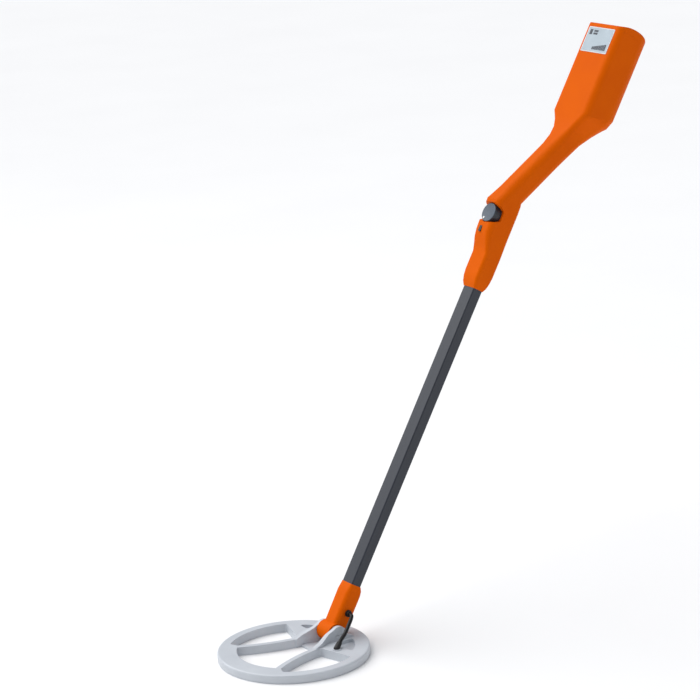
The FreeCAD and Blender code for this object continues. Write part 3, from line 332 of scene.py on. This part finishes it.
def in_pole_frame(piece, front, station):
    """Turns a piece made at the origin to face forward, at its place on the pole's middle line."""
    place = pole_place @ Matrix.Translation((0, -front, station))
    bpy.ops.object.select_all(action="DESELECT")
    piece.select_set(True)
    bpy.context.view_layer.objects.active = piece
    piece.matrix_world = place @ Matrix.Rotation(math.radians(90), 4, "X") @ piece.matrix_world
    bpy.ops.object.transform_apply(location=True, rotation=True, scale=True)


def select_faces(piece, wanted):
    """In edit mode, selects only the faces that pass a test."""
    bpy.ops.mesh.select_all(action="DESELECT")
    bpy.ops.object.mode_set(mode="OBJECT")
    for face in piece.data.polygons:
        face.select = wanted(face)
    bpy.ops.object.mode_set(mode="EDIT")


# Dark knob plastic: near-black blue-grey with a low sheen, and a paler satin face.
knob_dark = new_material("moulded_knob_dark")
place = add(knob_dark, "TexCoord", {})["Object"]
cloud = add(knob_dark, "TexNoise", {"Vector": place, "Scale": 240.0, "Detail": 3.0})["Fac"]
tone = add(knob_dark, "Mix", {0: cloud, 6: linear("20252C"), 7: linear("2A3038")}, data_type="RGBA")[2]
relief = add(knob_dark, "Bump", {"Strength": 0.25, "Distance": 0.00004, "Height": cloud})["Normal"]
surface = add(knob_dark, "BsdfPrincipled", {
    "Base Color": tone, "Roughness": 0.42, "IOR": 1.52, "Normal": relief})["BSDF"]
add(knob_dark, "OutputMaterial", {"Surface": surface})
knob_pale = new_material("moulded_knob_face")
place = add(knob_pale, "TexCoord", {})["Object"]
cloud = add(knob_pale, "TexNoise", {"Vector": place, "Scale": 240.0, "Detail": 3.0})["Fac"]
tone = add(knob_pale, "Mix", {0: cloud, 6: linear("3C4855"), 7: linear("4A5766")}, data_type="RGBA")[2]
relief = add(knob_pale, "Bump", {"Strength": 0.25, "Distance": 0.00004, "Height": cloud})["Normal"]
surface = add(knob_pale, "BsdfPrincipled", {
    "Base Color": tone, "Roughness": 0.4, "IOR": 1.52, "Normal": relief})["BSDF"]
add(knob_pale, "OutputMaterial", {"Surface": surface})

knob_radius = 0.0144
knob_tall = 0.0129
rim_tall = 0.0016
rim_ease = 0.0011
groove_pitch = 9
groove_wide = 3
groove_depth = 0.0003
dish_depth = 0.00015
knob_front = 0.0148
knob_station = 0.669


def in_groove(face):
    """True for one in three of the skirt's narrow side faces, whose pitch is in degrees."""
    turn = math.degrees(math.atan2(face.center.y, face.center.x)) % groove_pitch
    return abs(face.normal.z) < 0.5 and turn < groove_wide


skirt_tall = knob_tall - rim_tall
bpy.ops.object.select_all(action="DESELECT")
bpy.ops.mesh.primitive_cylinder_add(vertices=120, radius=knob_radius, depth=skirt_tall, end_fill_type="NGON",
                                    location=(0, 0, skirt_tall / 2))
knob = bpy.context.view_layer.objects.active
knob.name = "knob_turned"
bpy.ops.object.transform_apply(location=True, rotation=True, scale=True)
bpy.ops.object.mode_set(mode="EDIT")
bpy.ops.mesh.select_mode(type="FACE")
select_faces(knob, in_groove)
bpy.ops.mesh.inset(thickness=0.00015, use_even_offset=True)
bpy.ops.transform.shrink_fatten(value=-groove_depth)
select_faces(knob, lambda face: face.normal.z > 0.9)
bpy.ops.mesh.extrude_region_move(TRANSFORM_OT_translate={"value": (0, 0, rim_tall)})
select_faces(knob, lambda face: face.normal.z > 0.9)
bpy.ops.mesh.bevel(offset=rim_ease, segments=4, affect="EDGES")
select_faces(knob, lambda face: face.normal.z > 0.99 and face.area > 0.0001)
bpy.ops.mesh.inset(thickness=0.0006)
bpy.ops.transform.translate(value=(0, 0, -dish_depth))
bpy.ops.object.mode_set(mode="OBJECT")
knob.data.materials.append(knob_dark)
knob.data.materials.append(knob_pale)
for face in knob.data.polygons:
    face.material_index = 1 if face.normal.z > 0.6 else 0
bpy.ops.object.shade_smooth_by_angle(angle=math.radians(30))
in_pole_frame(knob, knob_front, knob_station)
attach(knob, "tuning_knob")
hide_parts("knob")

# White inlay: hard paint filled into the pit, slightly uneven.
white_paint = new_material("white_inlay_paint")
place = add(white_paint, "TexCoord", {})["Object"]
cloud = add(white_paint, "TexNoise", {"Vector": place, "Scale": 700.0, "Detail": 2.0})["Fac"]
tone = add(white_paint, "Mix", {0: cloud, 6: linear("E9E9E4"), 7: linear("F8F8F5")}, data_type="RGBA")[2]
surface = add(white_paint, "BsdfPrincipled", {"Base Color": tone, "Roughness": 0.35, "IOR": 1.5})["BSDF"]
add(white_paint, "OutputMaterial", {"Surface": surface})
paint("knob_pointer", white_paint)

# Black inlay: the same paint in black, for the setting mark on the casing.
black_paint = new_material("black_inlay_paint")
place = add(black_paint, "TexCoord", {})["Object"]
cloud = add(black_paint, "TexNoise", {"Vector": place, "Scale": 700.0, "Detail": 2.0})["Fac"]
tone = add(black_paint, "Mix", {0: cloud, 6: linear("141210"), 7: linear("221D19")}, data_type="RGBA")[2]
surface = add(black_paint, "BsdfPrincipled", {"Base Color": tone, "Roughness": 0.45, "IOR": 1.5})["BSDF"]
add(black_paint, "OutputMaterial", {"Surface": surface})
paint("index_mark", black_paint)

# Turned steel: bright, with fine rings left by the lathe.
turned_steel = new_material("turned_steel")
place = add(turned_steel, "TexCoord", {})["Object"]
rings = add(turned_steel, "TexWave", {"Vector": place, "Scale": 900.0, "Distortion": 0.4},
            bands_direction="Y")["Fac"]
tone = add(turned_steel, "Mix", {0: rings, 6: linear("8E9196"), 7: linear("B4B7BB")}, data_type="RGBA")[2]
surface = add(turned_steel, "BsdfPrincipled", {
    "Base Color": tone, "Roughness": 0.3, "Metallic": 1.0})["BSDF"]
add(turned_steel, "OutputMaterial", {"Surface": surface})
for part in ("knob_shaft", "potentiometer", "speaker"):
    paint(part, turned_steel)

# ---- Label
# A thin silver-grey plastic plate glued to the front of the housing, with a pale printed edge.
# Its print is a plain mark, two short bars and a row of level blocks.

# Printed polycarbonate: cool silver-grey with a fine pearl, and a satin coat.
label_face = new_material("silver_polycarbonate")
place = add(label_face, "TexCoord", {})["Object"]
pearl = add(label_face, "TexNoise", {"Vector": place, "Scale": 1100.0, "Detail": 2.0})["Fac"]
cloud = add(label_face, "TexNoise", {"Vector": place, "Scale": 45.0, "Detail": 2.0})["Fac"]
mixed = add(label_face, "Math", {0: pearl, 1: cloud}, operation="MULTIPLY")["Value"]
tone = add(label_face, "Mix", {0: mixed, 6: linear("8E9BA4"), 7: linear("AEBAC2")}, data_type="RGBA")[2]
surface = add(label_face, "BsdfPrincipled", {
    "Base Color": tone, "Roughness": 0.34, "Metallic": 0.25, "IOR": 1.58})["BSDF"]
add(label_face, "OutputMaterial", {"Surface": surface})
label_edge = new_material("pale_printed_edge")
place = add(label_edge, "TexCoord", {})["Object"]
cloud = add(label_edge, "TexNoise", {"Vector": place, "Scale": 300.0, "Detail": 2.0})["Fac"]
tone = add(label_edge, "Mix", {0: cloud, 6: linear("C9CCCC"), 7: linear("D3D6D6")}, data_type="RGBA")[2]
surface = add(label_edge, "BsdfPrincipled", {"Base Color": tone, "Roughness": 0.38, "IOR": 1.58})["BSDF"]
add(label_edge, "OutputMaterial", {"Surface": surface})
label_ink = new_material("dark_printing_ink")
place = add(label_ink, "TexCoord", {})["Object"]
cloud = add(label_ink, "TexNoise", {"Vector": place, "Scale": 900.0, "Detail": 2.0})["Fac"]
tone = add(label_ink, "Mix", {0: cloud, 6: linear("1E2430"), 7: linear("2E3644")}, data_type="RGBA")[2]
surface = add(label_ink, "BsdfPrincipled", {"Base Color": tone, "Roughness": 0.4, "IOR": 1.5})["BSDF"]
add(label_ink, "OutputMaterial", {"Surface": surface})

label_wide = 0.059
label_tall = 0.039
label_thick = 0.0006
label_front = -0.038
label_station = 0.9688
bpy.ops.object.select_all(action="DESELECT")
bpy.ops.mesh.primitive_cube_add(size=1, location=(0, 0, label_thick / 2),
                                scale=(label_wide, label_tall, label_thick))
label = bpy.context.view_layer.objects.active
label.name = "label"
bpy.ops.object.transform_apply(location=True, rotation=True, scale=True)
bpy.ops.object.mode_set(mode="EDIT")
bpy.ops.mesh.select_mode(type="EDGE")
bpy.ops.mesh.select_all(action="DESELECT")
bpy.ops.object.mode_set(mode="OBJECT")
for edge in label.data.edges:
    low, high = (label.data.vertices[k].co for k in edge.vertices)
    edge.select = abs(low.z - high.z) > label_thick / 2
bpy.ops.object.mode_set(mode="EDIT")
bpy.ops.mesh.bevel(offset=0.0015, segments=5, affect="EDGES")
bpy.ops.mesh.select_mode(type="FACE")
select_faces(label, lambda face: face.normal.z > 0.9)
bpy.ops.mesh.inset(thickness=0.0012)
bpy.ops.object.mode_set(mode="OBJECT")
label.data.materials.append(label_edge)
label.data.materials.append(label_face)
for face in label.data.polygons:
    face.material_index = 1 if face.select else 0
bpy.ops.object.shade_smooth_by_angle(angle=math.radians(30))
in_pole_frame(label, label_front, label_station)
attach(label, "handle")
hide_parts("label_plate")

# Each box of ink: its place across and up from the label's middle, its width and its height.
ink_thick = 0.0001
print_boxes = [
    (-0.0215, 0.0112, 0.0062, 0.0082),
    (-0.0105, 0.0133, 0.0095, 0.0030),
    (-0.0105, 0.0092, 0.0095, 0.0030),
]
for k in range(10):
    print_boxes.append((-0.0050 + 0.0031 * k, -0.0130 + 0.0003 * k, 0.0027, 0.0044 + 0.0006 * k))
prints = []
for wide_at, tall_at, wide, tall in print_boxes:
    bpy.ops.object.select_all(action="DESELECT")
    bpy.ops.mesh.primitive_cube_add(size=1, location=(wide_at, tall_at, label_thick),
                                    scale=(wide, tall, ink_thick))
    block = bpy.context.view_layer.objects.active
    bpy.ops.object.transform_apply(location=True, rotation=True, scale=True)
    prints.append(block)
bpy.ops.object.select_all(action="DESELECT")
for block in prints:
    block.select_set(True)
bpy.context.view_layer.objects.active = prints[0]
bpy.ops.object.join()
label_print = bpy.context.view_layer.objects.active
label_print.name = "label_print"
bpy.ops.object.mode_set(mode="EDIT")
bpy.ops.mesh.select_all(action="SELECT")
bpy.ops.mesh.bevel(offset=0.00003, segments=1, affect="EDGES")
bpy.ops.object.mode_set(mode="OBJECT")
in_pole_frame(label_print, label_front, label_station)
finish_piece(label_print, label_ink, "handle", "dark_fill")

# ---- Battery door
# A small ABS door that slides down out of its recess in the back of the housing, with four
# ridges for the thumb.
door = moulded("battery_lid", "battery_door", 0.0003)
finish_piece(door, orange_abs, "door", "casing_abs", "battery_door")

# ---- Electronics
# A glass-fibre board with its components, a small loudspeaker and a nine-volt battery on its snap.
# They are screwed and clipped inside the closed housing.

# Board laminate: green lacquer over woven glass cloth, glossy, with a weave 0.6 mm apart.
laminate = new_material("green_board_laminate")
place = add(laminate, "TexCoord", {})["Object"]
weave = add(laminate, "TexChecker", {
    "Vector": place, "Scale": 1600.0, "Color1": linear("0E4A22"), "Color2": linear("125A2A")})["Color"]
surface = add(laminate, "BsdfPrincipled", {"Base Color": weave, "Roughness": 0.25, "IOR": 1.55})["BSDF"]
add(laminate, "OutputMaterial", {"Surface": surface})
paint("circuit_board", laminate)
# Epoxy cases: matt black, finely pitted.
epoxy = new_material("black_epoxy_case")
place = add(epoxy, "TexCoord", {})["Object"]
pits = add(epoxy, "TexNoise", {"Vector": place, "Scale": 1500.0, "Detail": 2.0})["Fac"]
tone = add(epoxy, "Mix", {0: pits, 6: linear("17181A"), 7: linear("26272A")}, data_type="RGBA")[2]
relief = add(epoxy, "Bump", {"Strength": 0.3, "Distance": 0.00003, "Height": pits})["Normal"]
surface = add(epoxy, "BsdfPrincipled", {
    "Base Color": tone, "Roughness": 0.5, "IOR": 1.55, "Normal": relief})["BSDF"]
add(epoxy, "OutputMaterial", {"Surface": surface})
paint("board_parts", epoxy)
paint("battery_snap", epoxy)
# Battery jacket: lacquered steel, dark with a plain silver band.
jacket = new_material("lacquered_battery_jacket")
place = add(jacket, "TexCoord", {})["Object"]
along = add(jacket, "Mapping", {"Vector": place, "Rotation": (pole_lean, 0.0, 0.0)})["Vector"]
height = add(jacket, "SeparateXYZ", {"Vector": along})["Z"]
band = add(jacket, "Math", {0: height, 1: 0.905}, operation="GREATER_THAN")["Value"]
tone = add(jacket, "Mix", {0: band, 6: linear("1B2230"), 7: linear("B8BBBF")}, data_type="RGBA")[2]
scuff = add(jacket, "TexNoise", {"Vector": place, "Scale": 120.0, "Detail": 5.0})["Fac"]
wear = add(jacket, "MapRange", {"Value": scuff, "To Min": 0.22, "To Max": 0.4})["Result"]
surface = add(jacket, "BsdfPrincipled", {"Base Color": tone, "Roughness": wear, "Metallic": 0.4})["BSDF"]
add(jacket, "OutputMaterial", {"Surface": surface})
paint("battery", jacket)

# ---- Floor and light
# A plain pale floor and sky, a broad soft sun from the front left and above, a large lamp at the
# front left, and a weaker one at the right.
floor_mat = new_material("pale_floor")
place = add(floor_mat, "TexCoord", {})["Object"]
cloud = add(floor_mat, "TexNoise", {"Vector": place, "Scale": 3.0, "Detail": 2.0})["Fac"]
tone = add(floor_mat, "Mix", {0: cloud, 6: linear("F2F2F2"), 7: linear("F6F6F6")}, data_type="RGBA")[2]
surface = add(floor_mat, "BsdfPrincipled", {"Base Color": tone, "Roughness": 0.8})["BSDF"]
add(floor_mat, "OutputMaterial", {"Surface": surface})
bpy.ops.object.select_all(action="DESELECT")
bpy.ops.mesh.primitive_plane_add(size=40, location=(0, 0, 0))
floor = bpy.context.view_layer.objects.active
floor.name = "floor"
floor.data.materials.append(floor_mat)

world = bpy.data.worlds.new("studio")
world.use_nodes = True
world.node_tree.nodes["Background"].inputs["Color"].default_value = (0.93, 0.95, 1.0, 1.0)
world.node_tree.nodes["Background"].inputs["Strength"].default_value = 0.4
bpy.context.scene.world = world
for name, kind, spot, size, power in (
    ("overhead", "SUN", (-1.4, -1.0, 3.6), math.radians(70), 2.5),
    ("key", "AREA", (-2.4, -1.3, 1.5), 2.4, 16.0),
    ("fill", "AREA", (3.4, 1.0, 1.2), 1.8, 9.0),
):
    lamp = bpy.data.lights.new(name, kind)
    lamp.energy = power
    if kind == "SUN":
        lamp.angle = size
    else:
        lamp.size = size
    light = bpy.data.objects.new(name, lamp)
    bpy.context.scene.collection.objects.link(light)
    way = Vector((0, 0.2, 0.4)) - Vector(spot)
    light.matrix_world = Matrix.Translation(spot) @ way.to_track_quat("-Z", "Y").to_matrix().to_4x4()
bpy.context.scene.view_settings.view_transform = "Standard"
